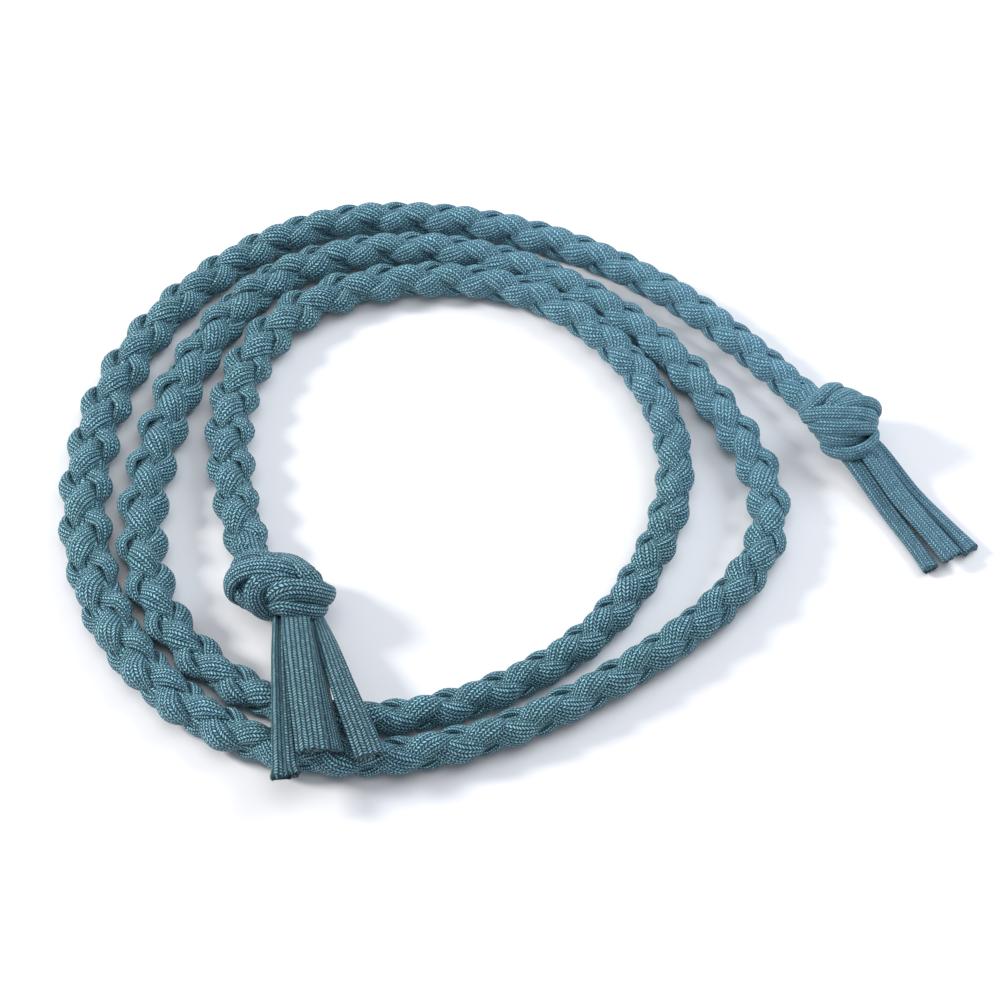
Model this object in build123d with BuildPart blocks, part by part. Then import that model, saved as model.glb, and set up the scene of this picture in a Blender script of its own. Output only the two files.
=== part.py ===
"""A four-strand braided cord with a knot and a tassel at each end, laid in a loose flat spiral.

Millimetres, +Z up. The cord lies on the plane Z = 0, and the origin is on that plane, under the
middle of the whole object's box. The inner end of the spiral is the end with inner_knot.
"""

import os
from math import cos, pi, radians, sin, tan

from build123d import *

os.makedirs("parts", exist_ok=True)

# Driving dimensions
braid_dia = 7.4  # across the braid of four sleeves
sleeve_width = 5.6  # one coreless sleeve pressed flat
sleeve_thick = 1.5  # its two layers of weave, with the air between them
folded_width = 3.0  # the same sleeve folded in half along its length
folded_thick = 2.4
loose_width = 4.8  # a sleeve that is only partly pressed flat
crease_width = 3.2  # a sleeve folded less tightly
crease_thick = 1.6
inner_tail_length = 35.0  # from the inner knot to the cut ends
outer_tail_length = 31.0
clearance = 0.3  # air between pieces that lie side by side
knot_long = 12.6  # heart of a knot, along the cord
knot_deep = 9.8  # heart of a knot, across the cord
wrap_long = 4.6  # section of one turn of the knot, along the cord
wrap_deep = 2.6  # the same, outward from the heart
arc_share = 0.45  # of the shorter run beside a corner, taken up by the corner's arc

# Route of the braid's middle line in plan, from the inner knot outward: two turns and a half
route = [
    (-52, -19.5),
    (-56.5, -5.5),
    (-58.5, 22.5),
    (-46, 46.5),
    (-19, 54.5),
    (6, 48.5),
    (25, 27.5),
    (32, 3.5),
    (26, -20.5),
    (12.5, -41.5),
    (-12, -56),
    (-38, -59),
    (-63, -44.5),
    (-74.5, -20.5),
    (-72.5, 7.5),
    (-65.5, 32.5),
    (-51, 54),
    (-25, 63),
    (3, 58.5),
    (26, 42.5),
    (43, 19.5),
    (53, -7.5),
    (44.5, -29.5),
    (22, -47.5),
    (-4, -62),
    (-31, -68),
    (-58, -60.5),
    (-78, -38.5),
    (-87, -9.5),
    (-83.5, 22.5),
    (-68, 49.5),
    (-43, 69),
    (-15, 71),
    (13, 63),
    (35, 47.5),
    (50, 30.5),
    (58.5, 18),
]


def corner_radii(points):
    """The largest arc that each corner's two runs leave room for, in order."""
    radii = []
    for before, corner, after in zip(points, points[1:], points[2:]):
        run_in = corner - before
        run_out = after - corner
        turn = radians(run_in.get_angle(run_out))
        shorter_run = min(run_in.length, run_out.length)
        radii.append(arc_share * shorter_run / tan(turn / 2))
    return radii


def heading(degrees):
    """A level unit vector at this angle from +X."""
    return Vector(cos(radians(degrees)), sin(radians(degrees)), 0)


# The braid: one round tube along the whole route, resting on Z = 0
braid_points = [Vector(x, y, braid_dia / 2) for x, y in route]
braid_radii = corner_radii(braid_points)
print("braid arc radii", [round(radius, 1) for radius in braid_radii])

with BuildPart() as braid:
    with BuildLine():
        centreline = FilletPolyline(*braid_points, radius=braid_radii)
    with BuildSketch(Plane(origin=centreline @ 0, z_dir=centreline % 0)):
        Circle(braid_dia / 2)
    sweep(path=centreline)
braid.part.label = "braid"
export_step(braid.part, "parts/braid.step")

plain_volume = centreline.length * pi * (braid_dia / 2) ** 2
print("braid length", round(centreline.length, 1))
print("braid volume over section times length", round(braid.part.volume / plain_volume, 5))


def make_knot(name, cord_end, cord_way, way, middle_ahead, middle_aside, wraps, throat):
    """A knot tied in all four sleeves: a round heart, its turns, and a throat at each side.

    cord_end and cord_way are the braid's end and the level direction in which it runs into the
    knot. way is the direction in which the tails leave. Each wrap is (ahead, aside, ring radius,
    lean, swing): where the middle of that turn of the knot is, and how far it is tipped. throat
    is (aside, width, lowest, highest): the mouth that the tails leave by.
    """
    height = knot_deep / 2 + wrap_deep / 2
    side = way.rotate(Axis.Z, 90)
    middle = Vector(cord_end.X, cord_end.Y, height) + way * middle_ahead + side * middle_aside
    throat_aside, throat_width, throat_low, throat_high = throat
    exit_point = middle + way * (knot_long / 2) + side * throat_aside
    exit_plane = Plane(origin=exit_point, x_dir=side, z_dir=way)
    with BuildPart() as knot:
        with BuildSketch(Plane(origin=middle, x_dir=way, z_dir=side)):
            Ellipse(knot_long / 2, knot_deep / 2)
            with Locations((0, -knot_deep / 2)):
                Rectangle(knot_long, knot_deep, mode=Mode.SUBTRACT)
        revolve(axis=Axis(middle, way))
        for ahead, aside, ring_radius, lean, swing in wraps:
            centre = middle + way * ahead + side * aside
            ring = Plane(origin=centre, x_dir=side, z_dir=way).rotated((lean, swing, 0))
            section = Plane(origin=centre, x_dir=ring.x_dir, z_dir=ring.y_dir)
            with BuildSketch(section):
                with Locations((ring_radius, 0)):
                    Ellipse(wrap_deep / 2, wrap_long / 2)
            revolve(axis=Axis(centre, ring.z_dir))
        with BuildSketch(Plane(origin=cord_end, z_dir=cord_way)):
            Circle(braid_dia / 2 + clearance)
        extrude(amount=knot_deep / 2)
        with BuildSketch(exit_plane):
            with Locations((0, (throat_low + throat_high) / 2 - height)):
                RectangleRounded(throat_width, throat_high - throat_low, wrap_deep / 2)
        extrude(amount=-knot_long / 3)
        split(bisect_by=Plane(origin=cord_end, z_dir=cord_way), keep=Keep.TOP)
        split(bisect_by=exit_plane, keep=Keep.BOTTOM)
        split(bisect_by=Plane.XY, keep=Keep.TOP)
    knot.part.label = name
    export_step(knot.part, f"parts/{name}.step")
    return exit_plane


def make_tail(name, exit_plane, stations, width, thick):
    """One loose sleeve end. Each station is (ahead, aside, height of its middle above Z = 0)."""
    way = exit_plane.z_dir
    side = exit_plane.x_dir
    floor_point = Vector(exit_plane.origin.X, exit_plane.origin.Y, 0)
    points = [
        floor_point + way * ahead + side * aside + Vector(0, 0, height)
        for ahead, aside, height in stations
    ]
    with BuildPart() as tail:
        with BuildLine():
            path = FilletPolyline(*points, radius=corner_radii(points))
        with BuildSketch(Plane(origin=points[0], x_dir=side, z_dir=path % 0)):
            RectangleRounded(width, thick, thick * 0.45)
        sweep(path=path)
    tail.part.label = name
    export_step(tail.part, f"parts/{name}.step")


# The inner end: the knot rests on Z = 0, and its tails lie over two turns of the braid
over_braid = braid_dia + clearance
inner_way = heading(-81)
inner_end = centreline @ 0
inner_exit = make_knot(
    "inner_knot",
    inner_end,
    -(centreline % 0),
    inner_way,
    middle_ahead=10.4,
    middle_aside=3.8,
    wraps=[(-2.2, -3.4, 5.0, 24, -18), (0.6, 2.4, 5.1, -20, 14), (2.8, 4.8, 4.4, 12, 22)],
    throat=(3.4, 13.4, 4.2, 10.4),
)

low_layer = over_braid + crease_thick / 2
top_layer = over_braid + crease_thick + clearance + sleeve_thick / 2
make_tail(
    "inner_tail_1",
    inner_exit,
    [
        (0, -4.4, 6.6),
        (4, -4.4, 6.6),
        (12, -5.4, over_braid + folded_thick / 2),
        (inner_tail_length + 3.1, -7.0, over_braid + folded_thick / 2),
    ],
    folded_width,
    folded_thick,
)
make_tail(
    "inner_tail_2",
    inner_exit,
    [
        (0, -0.2, top_layer - 0.8),
        (4, -0.2, top_layer - 0.8),
        (12, -0.5, top_layer),
        (inner_tail_length - 0.6, -1.2, top_layer),
    ],
    sleeve_width,
    sleeve_thick,
)
make_tail(
    "inner_tail_3",
    inner_exit,
    [
        (0, 0.4, 7.3),
        (4, 0.4, 7.3),
        (12, 1.2, low_layer),
        (inner_tail_length - 1.8, 3.1, low_layer),
    ],
    crease_width,
    crease_thick,
)
make_tail(
    "inner_tail_4",
    inner_exit,
    [
        (0, 4.5, 5.6),
        (4, 4.5, 5.6),
        (12, 5.6, over_braid + sleeve_thick / 2),
        (inner_tail_length + 0.6, 9.2, over_braid + sleeve_thick / 2),
    ],
    loose_width,
    sleeve_thick,
)

# The outer end: knot and tails all rest on Z = 0
outer_way = heading(-54.7)
outer_end = centreline @ 1
outer_exit = make_knot(
    "outer_knot",
    outer_end,
    centreline % 1,
    outer_way,
    middle_ahead=7.6,
    middle_aside=0.6,
    wraps=[(-2.2, -1.0, 4.8, 20, 24), (0.4, 1.4, 4.9, -16, 10), (3.0, -0.4, 4.2, 10, -20)],
    throat=(-0.4, 10.6, 1.4, 7.8),
)

make_tail(
    "outer_tail_1",
    outer_exit,
    [
        (0, -3.3, 4.0),
        (4, -3.3, 4.0),
        (14, -4.2, folded_thick / 2),
        (outer_tail_length - 1, -6.2, folded_thick / 2),
    ],
    folded_width,
    folded_thick,
)
make_tail(
    "outer_tail_2",
    outer_exit,
    [
        (0, 0, 6.6),
        (4, 0, 6.6),
        (14, -0.6, crease_thick + clearance + sleeve_thick),
        (outer_tail_length, -1.6, crease_thick + clearance + sleeve_thick),
    ],
    loose_width,
    sleeve_thick,
)
make_tail(
    "outer_tail_3",
    outer_exit,
    [
        (0, 0, 2.4),
        (4, 0, 2.4),
        (14, 0.1, crease_thick / 2),
        (outer_tail_length - 1, 0.2, crease_thick / 2),
    ],
    crease_width,
    crease_thick,
)
make_tail(
    "outer_tail_4",
    outer_exit,
    [
        (0, 3.6, 4.2),
        (4, 3.6, 4.2),
        (14, 3.5, folded_thick / 2),
        (outer_tail_length + 0.1, 3.9, folded_thick / 2),
    ],
    folded_width,
    folded_thick,
)
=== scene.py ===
"""The looks of a four-strand braided cord with a knot and a tassel at each end, on a pale floor.

Metres, +Z up, in the frame of the CAD model. Lengths named *_MM are in millimetres.
"""

from math import cos, pi, radians, sin

import bpy
import numpy as np
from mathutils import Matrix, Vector


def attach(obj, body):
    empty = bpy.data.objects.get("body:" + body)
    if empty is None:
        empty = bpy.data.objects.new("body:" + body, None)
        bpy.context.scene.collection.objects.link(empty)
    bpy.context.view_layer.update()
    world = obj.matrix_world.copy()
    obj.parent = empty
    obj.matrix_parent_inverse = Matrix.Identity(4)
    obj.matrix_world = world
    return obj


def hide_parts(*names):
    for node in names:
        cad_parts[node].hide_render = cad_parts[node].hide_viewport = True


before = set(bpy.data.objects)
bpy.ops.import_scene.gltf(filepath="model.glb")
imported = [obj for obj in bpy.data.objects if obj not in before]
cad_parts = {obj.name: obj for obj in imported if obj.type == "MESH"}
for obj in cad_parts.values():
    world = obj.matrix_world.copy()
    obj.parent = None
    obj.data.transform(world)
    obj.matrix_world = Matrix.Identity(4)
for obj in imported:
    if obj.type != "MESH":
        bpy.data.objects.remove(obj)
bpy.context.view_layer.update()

MM = 0.001

# Camera: the angle from which the rope was pictured
AIM = Vector((-0.004, -0.0065, 0.004))
ELEVATION = radians(52)
DISTANCE = 0.65
LENS_MM = 120

# Sizes of the braid, in millimetres
BRAID_DIA_MM = 7.4
OVER_RADIUS_MM = 2.55  # middle of a sleeve where it lies over another, from the braid's middle
UNDER_RADIUS_MM = 1.0  # the same where it lies under
SLEEVE_HALF_WIDTH_MM = 2.75
SLEEVE_HALF_THICK_MM = 1.2
BURIED_RADIUS_MM = 2.0  # what the crossings hide, as one plain tube
BURIED_RINGS = 400
BURIED_AROUND = 12
RINGS = 1160  # along each sleeve of the braid
AROUND = 20  # points round each ring
SWING = 0.62  # how much straighter a sleeve runs where it lies over another
EASING = 41  # stations over which a change in how the braid lies is eased

# Rings along the other sleeves, and points round them
TAIL_RINGS = 120
TAIL_AROUND = 32
BAND_RINGS = 110
BAND_AROUND = 28
NECK_RINGS = 40
NECK_AROUND = 24
HEART_RINGS = 48
HEART_AROUND = 56

# The weave of a sleeve: columns of stitches round it, and a row's length. The braid squeezes it
# closer than the knots and tails do.
BRAID_COLUMNS = 18
LOOSE_COLUMNS = 14
ROW_MM = 0.60

# Route of the braid's middle line in plan, from the inner knot outward. Some points stand up to 3.5 mm
# from the CAD route's, to follow the rope more closely.
ROUTE = [
    (-0.052, -0.0195),
    (-0.0565, -0.0055),
    (-0.0585, 0.0225),
    (-0.0456, 0.0457),
    (-0.019, 0.0532),
    (0.0058, 0.0477),
    (0.025, 0.0275),
    (0.032, 0.0035),
    (0.026, -0.0205),
    (0.0125, -0.0415),
    (-0.012, -0.056),
    (-0.038, -0.059),
    (-0.063, -0.0445),
    (-0.0745, -0.0205),
    (-0.0725, 0.0075),
    (-0.0655, 0.0325),
    (-0.0508, 0.0534),
    (-0.0252, 0.0618),
    (0.0013, 0.0560),
    (0.0235, 0.0401),
    (0.0406, 0.0176),
    (0.0505, -0.0076),
    (0.0428, -0.0278),
    (0.0213, -0.0468),
    (-0.004, -0.062),
    (-0.031, -0.068),
    (-0.058, -0.0605),
    (-0.078, -0.0385),
    (-0.0862, -0.0095),
    (-0.0828, 0.0225),
    (-0.068, 0.0495),
    (-0.043, 0.0679),
    (-0.0153, 0.0694),
    (0.0123, 0.0608),
    (0.0340, 0.0459),
    (0.0492, 0.0295),
    (0.0585, 0.018),
]
ROUTE_HEIGHT = BRAID_DIA_MM / 2 * MM

# How the braid lies along its route: (route point, width, height, one leaf's length, turn).
# Lengths are in millimetres. The turn is in degrees, from the camera's side of the braid to the
# middle of a row of leaves.
LAY = [
    (0, 9.8, 7.0, 9.0, -15),
    (1, 11.5, 7.0, 8.7, -15),
    (2, 11.6, 7.0, 8.7, -15),
    (3, 10.2, 7.0, 9.6, -30),
    (4, 7.4, 7.0, 9.8, -45),
    (5, 7.4, 7.0, 9.6, -45),
    (6, 8.2, 7.0, 9.2, -60),
    (7, 8.4, 7.0, 8.8, -65),
    (8, 8.2, 7.0, 8.8, -60),
    (9, 7.8, 7.0, 9.6, -45),
    (10, 7.6, 7.0, 10.2, -45),
    (11, 7.8, 7.0, 10.4, -48),
    (12, 10.2, 7.0, 10.2, -65),
    (13, 11.6, 7.0, 9.8, -85),
    (14, 11.8, 7.0, 9.9, -88),
    (15, 11.2, 7.0, 9.8, -82),
    (16, 9.8, 7.0, 10.0, -60),
    (17, 7.6, 7.0, 10.0, -45),
    (18, 7.6, 7.0, 10.0, -45),
    (19, 8.6, 7.0, 9.6, -40),
    (20, 9.2, 7.0, 9.2, -20),
    (21, 9.4, 7.0, 9.2, 0),
    (22, 9.0, 7.0, 9.4, -10),
    (23, 7.8, 7.2, 10.4, -42),
    (24, 7.8, 7.4, 11.2, -45),
    (25, 7.8, 7.4, 11.2, -45),
    (26, 10.0, 7.2, 10.8, -40),
    (27, 11.9, 7.0, 10.4, -22),
    (28, 12.5, 7.0, 10.4, -18),
    (29, 12.2, 7.0, 10.4, -18),
    (30, 10.2, 7.0, 10.2, -30),
    (31, 7.8, 7.0, 10.2, -42),
    (32, 7.2, 7.0, 10.2, -45),
    (33, 7.4, 6.9, 10.0, -45),
    (34, 7.4, 6.9, 9.8, -45),
    (35, 7.3, 6.9, 9.6, -45),
    (36, 7.2, 6.9, 9.6, -45),
]

VIEW_RIGHT = np.array((1.0, 0.0, 0.0))
VIEW_UP = np.array((0.0, sin(ELEVATION), cos(ELEVATION)))
VIEW_NEAR = np.array((0.0, -cos(ELEVATION), sin(ELEVATION)))
UP = np.array((0.0, 0.0, 1.0))


# ---------------------------------------------------------------- geometry helpers


def unit(vectors):
    """Vectors of length 1, along the last axis."""
    return vectors / np.linalg.norm(vectors, axis=-1, keepdims=True)


def lengths_along(points):
    """The distance along a line of points at each of them."""
    steps = np.linalg.norm(np.diff(points, axis=0), axis=1)
    return np.concatenate([[0.0], np.cumsum(steps)])


def wave(count, step, seed, size):
    """A smooth random curve of count values, about 0, whose bumps are step values long."""
    rng = np.random.default_rng(seed)
    knots = rng.uniform(-1, 1, int(count / step) + 4)
    at = np.arange(count) / step + 1
    low = np.floor(at).astype(int)
    part = at - low
    part = part * part * (3 - 2 * part)
    return size * (knots[low] * (1 - part) + knots[low + 1] * part)


def through(controls, count):
    """count points, evenly spaced along a smooth line through the controls, which may have any number
    of values each. The first three values are the place."""
    c = np.array(controls, dtype=float)
    extended = np.vstack([2 * c[0] - c[1], c, 2 * c[-1] - c[-2]])
    t = np.linspace(0, len(c) - 1 - 1e-9, 40 * len(c))
    low = np.floor(t).astype(int)
    f = (t - low)[:, None]
    before, start, end, after = (extended[low + k] for k in range(4))
    fine = 0.5 * (
        2 * start
        + (end - before) * f
        + (2 * before - 5 * start + 4 * end - after) * f**2
        + (3 * start - before - 3 * end + after) * f**3
    )
    along = lengths_along(fine[:, :3])
    even = np.linspace(0, along[-1], count)
    return np.stack([np.interp(even, along, fine[:, k]) for k in range(fine.shape[1])], axis=1)


def add_object(name, data):
    """A new object of that data, in the scene."""
    made = bpy.data.objects.new(name, data)
    bpy.context.scene.collection.objects.link(made)
    return made


def skin(name, tubes, material):
    """One mesh object of closed tubes, with the weave's UV map. Each tube is its rings, (n, m, 3) in
    metres, the way along it in millimetres, (n,), and the way round in columns of stitches, (m + 1,)."""
    verts, faces, uvs = [], [], []
    start = 0
    for rings, along, around in tubes:
        n, m, _ = rings.shape
        verts.append(rings.reshape(-1, 3))
        i, j = np.meshgrid(np.arange(n - 1), np.arange(m), indexing="ij")
        i, j = i.ravel(), j.ravel()
        k = (j + 1) % m
        quads = np.stack([i * m + j, i * m + k, (i + 1) * m + k, (i + 1) * m + j], axis=1) + start
        faces.extend(quads.tolist())
        u = np.stack([along[i], along[i], along[i + 1], along[i + 1]], axis=1)
        v = np.stack([around[j], around[j + 1], around[j + 1], around[j]], axis=1)
        uvs.append(np.stack([u, v], axis=2).reshape(-1, 2))
        first = list(range(start, start + m))[::-1]
        last = list(range(start + (n - 1) * m, start + n * m))
        faces.extend([first, last])
        uvs.append(np.stack([np.full(m, along[0]), around[:m][::-1]], axis=1))
        uvs.append(np.stack([np.full(m, along[-1]), around[:m]], axis=1))
        start += n * m
    mesh = bpy.data.meshes.new(name)
    mesh.from_pydata(np.vstack(verts).tolist(), [], faces)
    layer = mesh.uv_layers.new(name="weave")
    layer.uv.foreach_set("vector", np.vstack(uvs).astype(np.float32).ravel())
    mesh.polygons.foreach_set("use_smooth", np.ones(len(mesh.polygons), dtype=bool))
    mesh.materials.append(material)
    mesh.update()
    return add_object(name, mesh)


def sleeve_rings(path, normals, half_width, half_thick, around, bend=0.0, groove=0.0):
    """Rings of a flattened sleeve along a path in metres. half_width and half_thick are in metres, one
    for each point of the path. bend, in 1/metres, curls its edges away from the normals, and groove
    presses its middle in, as a share of half_thick."""
    forward = unit(np.gradient(path, axis=0))
    normals = unit(normals - (normals * forward).sum(1, keepdims=True) * forward)
    across = np.cross(forward, normals)
    angle = np.arange(around) / around * 2 * pi
    c, s = np.cos(angle), np.sin(angle)
    flat = np.sign(c) * np.abs(c) ** 0.9
    crown = np.sign(s) * np.abs(s) ** 0.85
    a = half_width[:, None] * flat[None, :]
    b = half_thick[:, None] * crown[None, :]
    dip = np.exp(-((flat / 0.28) ** 2))[None, :] * groove
    b = b * (1 - dip)
    b = b - bend * a * a / 2
    return path[:, None, :] + across[:, None, :] * a[:, :, None] + normals[:, None, :] * b[:, :, None]


def way_round(rings, columns):
    """The way round a tube's middle ring in columns of stitches, from its first point back to it."""
    ring = rings[len(rings) // 2]
    closed = lengths_along(np.vstack([ring, ring[:1]]))
    return closed / closed[-1] * columns


def as_tube(rings, path, columns, start_mm=0.0):
    """A tube for skin(), whose weave starts start_mm along."""
    return rings, start_mm + lengths_along(path) / MM, way_round(rings, columns)


# ---------------------------------------------------------------- material


def weave_material(name, shade, seed):
    """A woven sleeve: columns of slanted stitches that lean left and right in turn, with painted shade
    in their gaps and painted glints on them. shade makes it darker below 1, which on the knots and tails
    is painted shade, and seed picks which stitches get painted glints."""
    made = bpy.data.materials.new(name)
    made.use_nodes = True
    nodes = made.node_tree.nodes
    links = made.node_tree.links
    nodes.clear()

    def node(kind, **values):
        n = nodes.new(kind)
        for key, value in values.items():
            setattr(n, key, value)
        return n

    def put(socket, value):
        if isinstance(value, (int, float)):
            socket.default_value = value
        else:
            links.new(value, socket)

    def maths(operation, a, b=0.0, c=0.0, clamp=False):
        n = node("ShaderNodeMath", operation=operation, use_clamp=clamp)
        put(n.inputs[0], a)
        put(n.inputs[1], b)
        put(n.inputs[2], c)
        return n.outputs[0]

    def mix(factor, a, b):
        n = node("ShaderNodeMix", data_type="RGBA")
        put(n.inputs[0], factor)
        for socket, value in ((n.inputs[6], a), (n.inputs[7], b)):
            if isinstance(value, tuple):
                socket.default_value = value
            else:
                links.new(value, socket)
        return n.outputs[2]

    # The stitches, from the UV map: millimetres along the sleeve and columns round it
    uv = node("ShaderNodeUVMap", uv_map="weave")
    apart = node("ShaderNodeSeparateXYZ")
    links.new(uv.outputs[0], apart.inputs[0])
    along, around = apart.outputs[0], apart.outputs[1]

    wobble = node("ShaderNodeTexNoise", noise_dimensions="2D")
    links.new(uv.outputs[0], wobble.inputs["Vector"])
    wobble.inputs["Scale"].default_value = 0.45
    wobble.inputs["Detail"].default_value = 2.0
    shift = maths("MULTIPLY", maths("SUBTRACT", wobble.outputs[0], 0.5), 0.5)

    column = maths("ADD", around, maths("MULTIPLY", shift, 0.6))
    column_number = maths("FLOOR", column)
    f = maths("SUBTRACT", column, column_number)
    odd = maths("FLOORED_MODULO", column_number, 2.0)
    sign = maths("MULTIPLY_ADD", odd, 2.0, -1.0)
    tilt = maths("MULTIPLY", maths("MULTIPLY", sign, maths("SUBTRACT", f, 0.5)), 0.95)
    q = maths("ADD", maths("DIVIDE", maths("ADD", along, shift), ROW_MM), tilt)
    row_number = maths("FLOOR", q)
    g = maths("SUBTRACT", q, row_number)

    def hump(value):
        """0 at both ends of 0..1 and 1 in the middle."""
        return maths("MULTIPLY", maths("MULTIPLY", value, maths("SUBTRACT", 1.0, value)), 4.0)

    across_hump = hump(f)
    along_hump = hump(g)
    stitch = maths("MULTIPLY", maths("POWER", across_hump, 0.75), maths("POWER", along_hump, 0.9))
    speck = maths("MULTIPLY_ADD", stitch, 2.9, -1.45, clamp=True)

    # Painted glints: each stitch gets a random strength, and the columns that lean one way get more, for
    # the light that the stitches catch
    spot = node("ShaderNodeCombineXYZ")
    links.new(column_number, spot.inputs[0])
    links.new(row_number, spot.inputs[1])
    spot.inputs[2].default_value = seed
    chance = node("ShaderNodeTexWhiteNoise", noise_dimensions="3D")
    links.new(spot.outputs[0], chance.inputs[0])
    painted_glint = maths("MULTIPLY_ADD", chance.outputs[0], 0.8, maths("MULTIPLY_ADD", odd, 0.25, 0.3))

    # Broad patches, and the fibres in a stitch
    place = node("ShaderNodeTexCoord")
    broad = node("ShaderNodeTexNoise", noise_dimensions="3D")
    links.new(place.outputs["Object"], broad.inputs["Vector"])
    broad.inputs["Scale"].default_value = 55.0
    broad.inputs["Detail"].default_value = 3.0
    fibres = node("ShaderNodeTexNoise", noise_dimensions="2D")
    links.new(uv.outputs[0], fibres.inputs["Vector"])
    fibres.inputs["Scale"].default_value = 7.0
    fibres.inputs["Detail"].default_value = 2.0

    # Colours
    # gap is painted shade: the near-black colour of the shaded hollows between stitches
    gap = (0.003 * shade, 0.021 * shade, 0.035 * shade, 1)
    body = (0.025 * shade, 0.118 * shade, 0.205 * shade, 1)
    glint_and_pale_fibre = (0.40 * shade, 0.86 * shade, 1.0 * shade, 1)
    green = (0.022 * shade, 0.128 * shade, 0.162 * shade, 1)
    tone = mix(maths("MULTIPLY_ADD", broad.outputs[0], 2.4, -0.7, clamp=True), body, green)
    # The stitches' crowns turn paler: partly paler fibres, partly painted highlight
    yarn = mix(maths("MULTIPLY", speck, painted_glint, clamp=True), tone, glint_and_pale_fibre)
    # Painted shade: the edges of each stitch turn to the gap colour
    cover = maths("MULTIPLY_ADD", stitch, 2.1, -0.10, clamp=True)
    colour = mix(cover, gap, yarn)
    # Random darker fibres, drawn towards the same painted-shade colour
    colour = mix(maths("MULTIPLY_ADD", fibres.outputs[0], 0.5, -0.1, clamp=True), colour, gap)

    # Painted light: the rope is painted a little paler and bluer towards +X and +Y, where its outer end
    # is, for the paler light over that end
    spread = node("ShaderNodeSeparateXYZ")
    links.new(place.outputs["Object"], spread.inputs[0])
    outward = maths("ADD", spread.outputs[0], spread.outputs[1])
    painted_far_light = maths("MULTIPLY_ADD", outward, 4.5, -0.05, clamp=True)
    colour = mix(painted_far_light, colour, (0.18, 0.42, 0.60, 1))

    height = maths("MULTIPLY_ADD", fibres.outputs[0], 0.12, stitch)
    bump = node("ShaderNodeBump")
    bump.inputs["Strength"].default_value = 0.9
    bump.inputs["Distance"].default_value = 0.00030
    links.new(height, bump.inputs["Height"])

    shader = node("ShaderNodeBsdfPrincipled")
    links.new(colour, shader.inputs["Base Color"])
    links.new(bump.outputs[0], shader.inputs["Normal"])
    rough = maths("MULTIPLY_ADD", speck, -0.18, 0.62)
    links.new(rough, shader.inputs["Roughness"])
    shader.inputs["Specular IOR Level"].default_value = 0.42
    shader.inputs["Sheen Weight"].default_value = 0.16
    shader.inputs["Sheen Roughness"].default_value = 0.45
    shader.inputs["Sheen Tint"].default_value = (0.62, 0.85, 0.95, 1)
    out = node("ShaderNodeOutputMaterial")
    links.new(shader.outputs[0], out.inputs[0])
    return made


# The knots and tails are the braid's own sleeve. Their lower shade values are painted shade, for the
# shade that darkens them where they lie.
braid_cloth = weave_material("braid sleeve", 0.92, 0.0)
knot_cloth_painted_shade = weave_material("knot sleeve painted shade", 0.84, 3.0)
tail_cloth_painted_shade = weave_material("tail sleeve painted shade", 0.62, 7.0)


# ---------------------------------------------------------------- camera

camera_data = bpy.data.cameras.new("camera")
camera_data.lens = LENS_MM
camera_data.sensor_width = 36
camera_data.clip_start = 0.01
camera = add_object("camera", camera_data)
camera.location = AIM + Vector((0, -cos(ELEVATION), sin(ELEVATION))) * DISTANCE
camera.rotation_euler = (AIM - camera.location).to_track_quat("-Z", "Y").to_euler()
bpy.context.scene.camera = camera


# ---------------------------------------------------------------- the braid


def route_line():
    """Points along the route's smooth line, a NURBS spline with the route as its control points."""
    data = bpy.data.curves.new("route", "CURVE")
    data.dimensions = "3D"
    spline = data.splines.new("NURBS")
    spline.points.add(len(ROUTE) - 1)
    for point, (x, y) in zip(spline.points, ROUTE):
        point.co = (x, y, ROUTE_HEIGHT, 1)
    spline.order_u = 3
    spline.use_endpoint_u = True
    spline.resolution_u = 24
    holder = add_object("route", data)
    mesh = bpy.data.meshes.new_from_object(holder)
    points = np.array([v.co[:] for v in mesh.vertices])
    bpy.data.objects.remove(holder)
    bpy.data.meshes.remove(mesh)
    return points


line = route_line()
line_along = lengths_along(line)
braid_length = line_along[-1]
stations = np.linspace(0, braid_length, RINGS)
middle = np.stack([np.interp(stations, line_along, line[:, k]) for k in range(3)], axis=1)
control_at = np.interp(stations, line_along, np.linspace(0, len(ROUTE) - 1, len(line)))


def lay(column):
    """That column of LAY at each station, eased between the route's points."""
    rows = np.array(LAY, dtype=float)
    values = np.interp(control_at, rows[:, 0], rows[:, column])
    window = np.hanning(EASING)
    padded = np.pad(values, EASING // 2, mode="edge")
    return np.convolve(padded, window / window.sum(), mode="valid")


ways = unit(np.gradient(middle, axis=0))
sides = np.cross(ways, UP)
width_scale = lay(1) / BRAID_DIA_MM
height_scale = lay(2) / BRAID_DIA_MM
view_turn = np.arctan2(sides @ VIEW_NEAR, VIEW_NEAR[2])
turn = np.unwrap(view_turn + np.radians(lay(4)))
phase = np.concatenate([[0.0], np.cumsum(pi / (lay(3)[1:] * MM) * np.diff(stations))])

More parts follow.
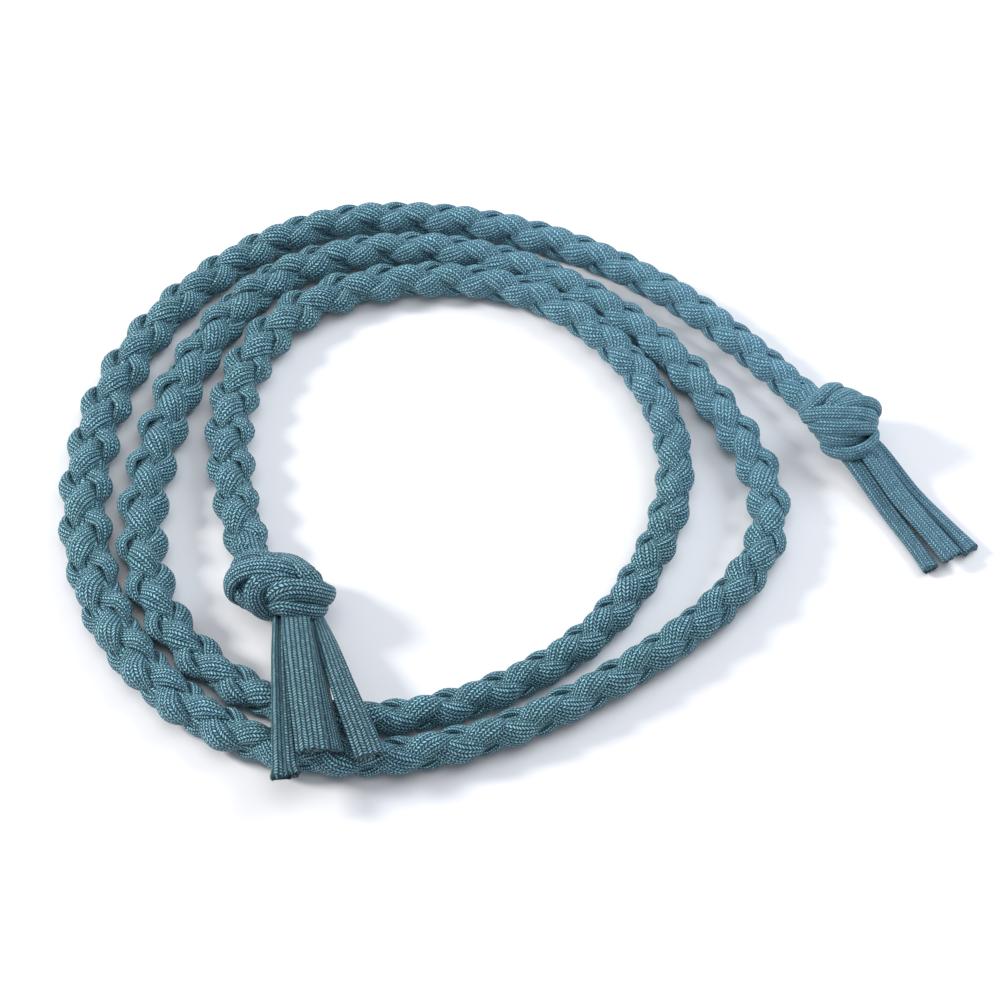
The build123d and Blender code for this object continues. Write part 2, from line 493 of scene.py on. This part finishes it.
def braid_tube(hand, second, seed):
    """One sleeve of the braid. hand is 1 or -1, the way it turns, and second is 0 or 1."""
    n = RINGS
    p = phase + wave(n, 14, seed, 0.05)
    over = hand * np.cos(2 * p)
    mean = (OVER_RADIUS_MM + UNDER_RADIUS_MM) / 2
    half_way = (OVER_RADIUS_MM - UNDER_RADIUS_MM) / 2
    radius = mean + half_way * over + wave(n, 9, seed + 20, 0.10)
    theta = hand * p - SWING / 2 * np.sin(2 * p)
    theta = theta + second * pi + turn + wave(n, 11, seed + 40, 0.05)
    out = np.sin(theta)[:, None] * sides + np.cos(theta)[:, None] * UP
    stretched = (
        (np.sin(theta) * width_scale)[:, None] * sides + (np.cos(theta) * height_scale)[:, None] * UP
    )
    base = middle.copy()
    base[:, 2] = BRAID_DIA_MM / 2 * MM * height_scale
    path = base + stretched * (radius * MM)[:, None]
    share = (over + 1) / 2
    broad = SLEEVE_HALF_WIDTH_MM * (0.60 + 0.40 * share**0.8) * (0.88 + 0.12 * width_scale)
    broad = broad * (1 + wave(n, 12, seed + 60, 0.06))
    thick = SLEEVE_HALF_THICK_MM * (0.70 + 0.30 * share) * (1 + wave(n, 10, seed + 80, 0.08))
    bend = (0.06 + 0.16 * share[:, None]) / MM
    rings = sleeve_rings(path, out, broad * MM, thick * MM, AROUND, bend=bend)
    rings[:, :, 2] = np.maximum(rings[:, :, 2], 0.0)
    return as_tube(rings, path, BRAID_COLUMNS, start_mm=200.0 * seed)


def buried_tube():
    """The inside of the braid, which only shows as the dark bottom of its hollows."""
    picked = np.linspace(0, RINGS - 1, BURIED_RINGS).astype(int)
    angle = np.arange(BURIED_AROUND) / BURIED_AROUND * 2 * pi
    base = middle[picked].copy()
    base[:, 2] = BRAID_DIA_MM / 2 * MM * height_scale[picked]
    across = np.sin(angle)[None, :] * width_scale[picked][:, None]
    upward = np.cos(angle)[None, :] * height_scale[picked][:, None]
    spokes = sides[picked][:, None, :] * across[:, :, None] + UP * upward[:, :, None]
    rings = base[:, None, :] + spokes * BURIED_RADIUS_MM * MM
    return as_tube(rings, base, BRAID_COLUMNS)


braid = skin(
    "rope_braid",
    [
        braid_tube(1, 0, 1),
        braid_tube(1, 1, 2),
        braid_tube(-1, 0, 3),
        braid_tube(-1, 1, 4),
        buried_tube(),
    ],
    braid_cloth,
)
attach(braid, "root")
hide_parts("braid")


# ---------------------------------------------------------------- tails


def heading(degrees):
    """A level unit vector at this angle from +X."""
    return np.array((cos(radians(degrees)), sin(radians(degrees)), 0.0))


def tail(name, node, exit_point, way_degrees, stations_mm, rough, seed, fold=0.0):
    """One loose sleeve end. Each station is (ahead, aside, height, half width, half thickness, roll in
    degrees), in millimetres. rough is how far the cut edge strays, in millimetres, and fold presses
    the sleeve's middle in."""
    way = heading(way_degrees)
    side = heading(way_degrees + 90)
    line_points = through(stations_mm, TAIL_RINGS)
    path = (
        np.array((exit_point[0], exit_point[1], 0.0))
        + way * line_points[:, 0:1] * MM
        + side * line_points[:, 1:2] * MM
        + UP * line_points[:, 2:3] * MM
    )
    roll = np.radians(line_points[:, 5])
    normals = np.cos(roll)[:, None] * UP + np.sin(roll)[:, None] * side
    rings = sleeve_rings(
        path,
        normals,
        line_points[:, 3] * MM,
        line_points[:, 4] * MM,
        TAIL_AROUND,
        groove=fold,
    )
    n, m, _ = rings.shape
    rng = np.random.default_rng(seed)
    ragged = rng.uniform(-1, 1, m) * rough * MM
    reach = np.clip((np.arange(n) - (n - 8)) / 7, 0, 1)[:, None]
    rings += way[None, None, :] * (reach * ragged[None, :])[:, :, None]
    rings[:, :, 2] = np.maximum(rings[:, :, 2], 0.0)
    made = skin(name, [as_tube(rings, path, LOOSE_COLUMNS, start_mm=900 + 60 * seed)], tail_cloth_painted_shade)
    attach(made, "root")
    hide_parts(node)
    return made


INNER_EXIT = (-0.0423, -0.0349)
INNER_WAY = -81
OUTER_EXIT = (0.0667, 0.0068)
OUTER_WAY = -54.7

inner_tails = [
    tail(
        "rope_inner_tail_1",
        "inner_tail_1",
        INNER_EXIT,
        INNER_WAY,
        [
            (-5.0, -2.6, 5.0, 1.3, 1.2, 0),
            (0, -3.4, 5.6, 1.35, 1.2, 0),
            (6, -4.1, 7.4, 1.45, 1.2, 0),
            (12, -4.7, 8.8, 1.6, 1.2, 0),
            (24, -5.7, 8.9, 1.95, 1.2, 0),
            (33, -6.4, 8.8, 2.3, 1.1, 0),
            (36.5, -6.6, 8.7, 2.5, 1.0, 0),
            (38.1, -6.6, 8.6, 2.9, 0.8, 0),
        ],
        rough=0.8,
        seed=1,
        fold=0.85,
    ),
    tail(
        "rope_inner_tail_2",
        "inner_tail_2",
        INNER_EXIT,
        INNER_WAY,
        [
            (-5.0, -0.4, 6.4, 2.4, 0.9, 0),
            (0, -0.6, 7.0, 2.6, 0.95, 0),
            (6, -0.8, 8.8, 2.7, 0.95, 0),
            (12, -1.0, 10.2, 2.8, 0.9, 0),
            (24, -1.2, 10.5, 2.9, 0.85, 0),
            (34.6, -1.3, 10.3, 3.0, 0.75, 0),
        ],
        rough=0.35,
        seed=2,
    ),
    tail(
        "rope_inner_tail_3",
        "inner_tail_3",
        INNER_EXIT,
        INNER_WAY,
        [
            (-5.0, 1.5, 5.0, 1.2, 0.7, 40),
            (2, 1.8, 5.8, 1.3, 0.7, 44),
            (12, 2.3, 8.0, 1.6, 0.7, 50),
            (20, 2.5, 8.2, 1.8, 0.7, 50),
            (28, 2.8, 8.2, 1.9, 0.7, 46),
            (34.0, 3.1, 8.2, 1.9, 0.7, 40),
        ],
        rough=0.4,
        seed=3,
    ),
    tail(
        "rope_inner_tail_4",
        "inner_tail_4",
        INNER_EXIT,
        INNER_WAY,
        [
            (-5.0, 3.0, 4.2, 1.0, 0.9, 0),
            (1, 3.5, 5.2, 1.2, 0.9, 10),
            (10, 4.6, 7.8, 2.0, 0.95, 16),
            (20, 6.1, 8.6, 2.5, 0.95, 16),
            (30, 8.0, 8.7, 2.75, 0.95, 12),
            (36.2, 9.2, 8.5, 2.95, 0.8, 8),
        ],
        rough=0.35,
        seed=4,
    ),
]
outer_tails = [
    tail(
        "rope_outer_tail_1",
        "outer_tail_1",
        OUTER_EXIT,
        OUTER_WAY,
        [
            (-4.5, -2.6, 4.0, 1.8, 1.1, 0),
            (3, -3.0, 3.6, 1.8, 1.1, 0),
            (14, -3.8, 1.4, 1.7, 1.1, 0),
            (24, -5.0, 1.2, 1.6, 1.1, 0),
            (30, -6.0, 1.2, 1.65, 1.0, 0),
        ],
        rough=0.3,
        seed=5,
        fold=0.4,
    ),
    tail(
        "rope_outer_tail_2",
        "outer_tail_2",
        OUTER_EXIT,
        OUTER_WAY,
        [
            (-4.5, 0.2, 5.6, 1.9, 0.9, 0),
            (3, 0.0, 5.4, 2.0, 0.9, 0),
            (14, -0.7, 3.2, 2.1, 0.85, 0),
            (24, -1.2, 2.8, 2.1, 0.8, 0),
            (31, -1.6, 2.6, 2.3, 0.75, 0),
        ],
        rough=0.4,
        seed=6,
        fold=0.35,
    ),
    tail(
        "rope_outer_tail_3",
        "outer_tail_3",
        OUTER_EXIT,
        OUTER_WAY,
        [
            (-4.5, 0.4, 2.6, 1.4, 0.8, 20),
            (3, 0.6, 2.4, 1.5, 0.8, 25),
            (14, 0.7, 1.3, 1.5, 0.8, 25),
            (30, 0.8, 1.1, 1.7, 0.7, 15),
        ],
        rough=0.3,
        seed=7,
    ),
    tail(
        "rope_outer_tail_4",
        "outer_tail_4",
        OUTER_EXIT,
        OUTER_WAY,
        [
            (-4.5, 2.4, 4.2, 1.4, 1.1, 0),
            (3, 3.0, 3.9, 1.4, 1.1, 0),
            (14, 3.0, 1.5, 1.4, 1.1, 0),
            (24, 3.1, 1.3, 1.5, 1.1, 0),
            (31.1, 3.2, 1.2, 1.8, 1.0, 0),
        ],
        rough=0.3,
        seed=8,
        fold=0.3,
    ),
]


# ---------------------------------------------------------------- knots

# A knot's own directions are the camera's: right, up in the picture and towards the camera.


def knot_place(centre, right, up, near):
    """The place right, up and near of a knot's middle, in millimetres."""
    return centre + (VIEW_RIGHT * right + VIEW_UP * up + VIEW_NEAR * near) * MM


def knot_band(centre, radii, controls, half_width, half_thick, seed):
    """One turn of a knot: a sleeve through controls (right, up, near) in millimetres about the knot's
    middle, whose flat side faces away from an egg of these radii."""
    local = through(controls, BAND_RINGS)
    path = knot_place(centre, local[:, 0:1], local[:, 1:2], local[:, 2:3])
    facing = local / np.array(radii) ** 2
    normals = unit(facing @ np.stack([VIEW_RIGHT, VIEW_UP, VIEW_NEAR]))
    n = len(path)
    broad = half_width * (1 + wave(n, 30, seed, 0.08)) * MM
    thick = half_thick * (1 + wave(n, 26, seed + 9, 0.10)) * MM
    rings = sleeve_rings(path, normals, broad, thick, BAND_AROUND, bend=0.12 / MM)
    rings[:, :, 2] = np.maximum(rings[:, :, 2], 0.0)
    return as_tube(rings, path, LOOSE_COLUMNS, start_mm=1500 + 40 * seed)


def heart(centre, radii, seed):
    """The sleeves buried in a knot, as one lumpy egg."""
    tilt = np.linspace(0.03, pi - 0.03, HEART_RINGS)[:, None]
    angle = (np.arange(HEART_AROUND) / HEART_AROUND * 2 * pi)[None, :]
    lumps = 1 + 0.03 * np.sin(5 * angle + 3 * tilt + seed) * np.sin(tilt)
    right = -radii[0] * np.cos(tilt) * np.ones_like(angle)
    up = radii[1] * np.sin(tilt) * np.cos(angle) * lumps
    near = radii[2] * np.sin(tilt) * np.sin(angle) * lumps
    points = (
        centre
        + VIEW_RIGHT * (right * MM)[:, :, None]
        + VIEW_UP * (up * MM)[:, :, None]
        + VIEW_NEAR * (near * MM)[:, :, None]
    )
    points[:, :, 2] = np.maximum(points[:, :, 2], 0.0)
    return points, 1800 + lengths_along(points[:, 0]) / MM, way_round(points, 4 * LOOSE_COLUMNS)


INNER_KNOT = np.array((-0.0466, -0.0292, 0.0062))
INNER_RADII = (8.4, 5.4, 5.5)
inner_bands = [
    # over the top of the knot, from its lower left to where it tucks in at the right
    (
        [
            (-6.6, -2.2, -2.5), (-8.8, -0.8, 0.4), (-8.4, 1.6, 2.8), (-6.2, 3.3, 4.8),
            (-2.8, 4.1, 5.8), (0.6, 3.9, 5.9), (3.2, 3.2, 4.8), (4.8, 2.4, 2.8),
        ],
        2.35,
        1.1,
        11,
    ),
    # the bulge below it, that follows it round and goes down at the left
    (
        [
            (4.2, 1.6, 4.2), (2.0, 2.0, 5.8), (-0.8, 1.8, 6.5), (-3.0, 0.7, 6.7),
            (-3.9, -1.3, 6.3), (-3.3, -3.4, 5.2), (-1.6, -4.9, 3.6), (0.6, -5.2, 1.8),
        ],
        2.1,
        1.15,
        12,
    ),
    # the upper of the two bands at the front right
    (
        [
            (-0.6, -2.8, 3.4), (0.1, -1.9, 6.2), (1.6, -0.9, 7.8), (4.2, -0.5, 7.7),
            (7.4, -0.9, 6.3), (9.9, -1.5, 3.8), (10.0, -1.6, 0.5), (7.4, -0.5, -3.0),
        ],
        2.15,
        1.15,
        13,
    ),
    # the lower one
    (
        [
            (-0.6, -4.0, 2.4), (0.2, -4.0, 5.2), (1.8, -4.0, 7.0), (4.4, -4.5, 7.0),
            (6.9, -4.9, 5.6), (8.4, -4.8, 2.8), (7.9, -4.0, -0.6), (4.4, -2.8, -3.6),
        ],
        1.85,
        1.1,
        14,
    ),
    # the shoulder at the right, under both
    (
        [
            (1.4, 5.2, 0.2), (3.9, 4.6, 3.0), (5.6, 3.2, 5.0), (7.2, 1.4, 5.0),
            (7.9, -0.8, 3.4),
        ],
        1.9,
        1.05,
        19,
    ),
    # the sleeve in the hollow at the lower left
    (
        [
            (-7.4, 0.8, 0.8), (-7.2, -1.0, 2.2), (-5.8, -2.6, 2.6), (-3.6, -4.0, 2.6),
            (-1.4, -5.0, 2.0),
        ],
        1.8,
        1.0,
        18,
    ),
    # round the back
    (
        [
            (-8.0, -1.6, -0.5), (-7.0, 0.6, -3.0), (-3.0, 2.2, -4.8), (1.5, 2.4, -5.0),
            (5.6, 2.2, -3.6), (8.0, 1.4, -0.6),
        ],
        2.2,
        0.95,
        15,
    ),
    (
        [
            (-6.6, -3.0, 0.4), (-3.6, -2.6, -4.2), (0.8, -1.4, -5.4), (5.0, -1.4, -4.6),
            (8.6, -2.0, -1.0),
        ],
        2.1,
        0.95,
        16,
    ),
    (
        [
            (-7.2, 2.2, -0.6), (-4.6, 4.2, -2.6), (-0.6, 5.2, -3.4), (3.6, 4.6, -3.0),
            (6.8, 2.6, -1.2),
        ],
        2.2,
        1.0,
        30,
    ),
    # where the braid comes in
    (
        [
            (-8.0, 3.6, 0.6), (-6.8, 5.4, 0.8), (-3.8, 6.2, 1.4), (-0.8, 5.6, 1.8),
            (2.0, 4.6, 1.0),
        ],
        1.7,
        0.9,
        17,
    ),
]
OUTER_KNOT = np.array((0.0634, 0.01215, 0.0062))
OUTER_RADII = (5.4, 5.2, 4.8)
outer_bands = [
    # two short slanted sleeves at the top
    (
        [
            (-7.6, 1.4, 0.4), (-6.2, 2.8, 2.8), (-4.2, 4.6, 3.8), (-2.4, 6.0, 2.4),
            (-1.0, 6.2, -0.6),
        ],
        1.7,
        1.0,
        21,
    ),
    (
        [
            (-3.8, 1.6, 3.4), (-2.2, 3.2, 4.6), (-0.2, 4.5, 4.0), (1.6, 5.0, 2.0),
            (3.0, 4.4, -1.0),
        ],
        1.6,
        1.0,
        22,
    ),
    # the upper band, up to the lobe on the right
    (
        [
            (-5.8, 0.8, -1.0), (-7.0, 0.8, 1.2), (-5.6, 0.9, 3.8), (-2.6, 1.0, 5.5),
            (0.8, 0.9, 6.1), (3.6, 0.7, 5.7), (5.6, 0.1, 4.2), (6.2, -0.8, 1.8),
        ],
        1.8,
        1.05,
        23,
    ),
    # the lobe, a fold with a hollow under it
    (
        [
            (-1.8, 2.2, 4.8), (0.8, 2.9, 5.5), (3.4, 3.3, 5.3), (5.8, 2.9, 3.9),
            (6.9, 1.6, 2.2), (6.2, 0.2, 0.4),
        ],
        1.35,
        1.05,
        29,
    ),
    # the middle band
    (
        [
            (-4.6, -1.0, -0.8), (-5.6, -1.2, 1.6), (-4.0, -1.6, 4.4), (-1.0, -1.8, 6.0),
            (2.4, -1.8, 6.2), (5.0, -1.7, 4.6), (6.0, -1.8, 2.0), (5.2, -2.0, -1.4),
        ],
        1.8,
        1.05,
        24,
    ),
    # the third, which goes in at the right and leaves a gap there
    (
        [
            (-3.6, -3.0, -0.4), (-4.2, -3.4, 2.0), (-2.6, -4.1, 4.4), (-0.2, -4.5, 5.2),
            (2.0, -4.3, 4.6), (3.8, -3.6, 2.8),
        ],
        1.65,
        0.95,
        25,
    ),
    # the last, round the tails
    (
        [
            (-2.6, -5.0, 0.0), (-2.8, -6.0, 2.2), (-0.9, -6.8, 4.0), (1.6, -7.0, 4.9),
            (4.2, -6.2, 5.0), (6.0, -4.7, 3.6), (6.4, -3.4, 1.0), (5.0, -2.8, -1.8),
        ],
        1.6,
        1.05,
        26,
    ),
    # round the back
    (
        [
            (-5.6, 1.0, 0.5), (-4.2, 2.2, -2.8), (-0.6, 2.8, -4.6), (3.0, 2.2, -4.0),
            (5.8, 0.8, -0.8),
        ],
        2.0,
        0.95,
        27,
    ),
    (
        [
            (-4.6, -2.4, 1.0), (-3.2, -1.6, -3.2), (0.4, -1.2, -5.0), (3.6, -1.8, -4.0),
            (6.0, -2.2, 0.0),
        ],
        2.0,
        0.95,
        28,
    ),
    (
        [
            (-4.8, 2.4, -0.8), (-2.6, 4.4, -2.4), (0.4, 5.2, -2.8), (3.4, 4.2, -2.4),
            (5.4, 2.2, -0.8),
        ],
        2.0,
        1.0,
        31,
    ),
]


def neck(cord_end, centre, seed):
    """The four sleeves between the braid's end and the inside of its knot, a little twisted."""
    outside = cord_end + unit(cord_end - centre) * np.array((3.0, 3.0, 0.0)) * MM
    part = np.linspace(0, 1, NECK_RINGS)[:, None]
    line_in = outside * (1 - part) + centre * part
    line_in[:, 2] = cord_end[2] + (centre[2] - cord_end[2]) * (part[:, 0] ** 2)
    forward = unit(centre - outside)
    side = unit(np.cross(forward, UP))
    broad = np.full(NECK_RINGS, 2.3 * MM)
    thick = np.full(NECK_RINGS, 1.1 * MM)
    tubes = []
    for k in range(4):
        angle = (k + 0.5) * pi / 2 + 1.2 * part
        out = np.sin(angle) * side + np.cos(angle) * UP
        path = line_in + out * (2.1 - 0.4 * part) * MM
        rings = sleeve_rings(path, out, broad, thick, NECK_AROUND, bend=0.2 / MM)
        rings[:, :, 2] = np.maximum(rings[:, :, 2], 0.0)
        tubes.append(as_tube(rings, path, LOOSE_COLUMNS, start_mm=2200 + 30 * (seed + k)))
    return tubes


def knot(name, node, centre, radii, bands, cord_end):
    """A knot of bands, each (controls, half width, half thickness, seed), about its heart."""
    tubes = [
        knot_band(centre, radii, controls, half_width, half_thick, seed)
        for controls, half_width, half_thick, seed in bands
    ]
    tubes.extend(neck(cord_end, centre, bands[0][3]))
    tubes.append(heart(centre, radii, bands[0][3]))
    made = skin(name, tubes, knot_cloth_painted_shade)
    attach(made, "root")
    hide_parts(node)
    return made


inner_knot = knot("rope_inner_knot", "inner_knot", INNER_KNOT, INNER_RADII, inner_bands, middle[0])
outer_knot = knot("rope_outer_knot", "outer_knot", OUTER_KNOT, OUTER_RADII, outer_bands, middle[-1])


# ---------------------------------------------------------------- floor and light


FLOOR_COLOUR = (0.86, 0.855, 0.87, 1)
SEEN_FLOOR_COLOUR = (0.93, 0.925, 0.94, 1)
FLOOR_HALF = 2.5
FLOOR_GAP = 0.0001  # the floor lies this far under the rope


def floor_material():
    """A matt white table, a little paler to the camera than to the rope's own light."""
    made = bpy.data.materials.new("white table")
    made.use_nodes = True
    nodes = made.node_tree.nodes
    links = made.node_tree.links
    shader = nodes["Principled BSDF"]
    path = nodes.new("ShaderNodeLightPath")
    mix = nodes.new("ShaderNodeMix")
    mix.data_type = "RGBA"
    links.new(path.outputs["Is Camera Ray"], mix.inputs[0])
    mix.inputs[6].default_value = FLOOR_COLOUR
    mix.inputs[7].default_value = SEEN_FLOOR_COLOUR
    links.new(mix.outputs[2], shader.inputs["Base Color"])
    shader.inputs["Roughness"].default_value = 0.8
    shader.inputs["Specular IOR Level"].default_value = 0.1
    return made


floor_mesh = bpy.data.meshes.new("floor")
floor_mesh.from_pydata(
    [
        (-FLOOR_HALF, -FLOOR_HALF, 0),
        (FLOOR_HALF, -FLOOR_HALF, 0),
        (FLOOR_HALF, FLOOR_HALF, 0),
        (-FLOOR_HALF, FLOOR_HALF, 0),
    ],
    [],
    [(0, 1, 2, 3)],
)
floor_mesh.materials.append(floor_material())
floor = add_object("floor", floor_mesh)
floor.location.z = -FLOOR_GAP


def area_light(name, place, aim, size, power, colour):
    """A round lamp at place, turned to aim."""
    data = bpy.data.lights.new(name, "AREA")
    data.shape = "DISK"
    data.size = size
    data.energy = power
    data.color = colour
    made = add_object(name, data)
    made.location = place
    made.rotation_euler = (Vector(aim) - Vector(place)).to_track_quat("-Z", "Y").to_euler()
    return made


area_light("window", (-0.98, 0.16, 0.56), (0, 0, 0), 0.26, 11.0, (1.0, 0.985, 0.97))
area_light("overhead", (0.0, -0.1, 1.3), (0, 0, 0), 1.2, 5.0, (0.97, 0.98, 1.0))
area_light("far side", (0.44, 0.30, 0.42), (0.06, 0.03, 0), 0.5, 2.6, (0.84, 0.92, 1.0))

world = bpy.data.worlds.new("room")
bpy.context.scene.world = world
world.use_nodes = True
background = world.node_tree.nodes["Background"]
background.inputs["Color"].default_value = (0.93, 0.94, 1.0, 1)
background.inputs["Strength"].default_value = 0.37

bpy.context.scene.view_settings.view_transform = "Standard"
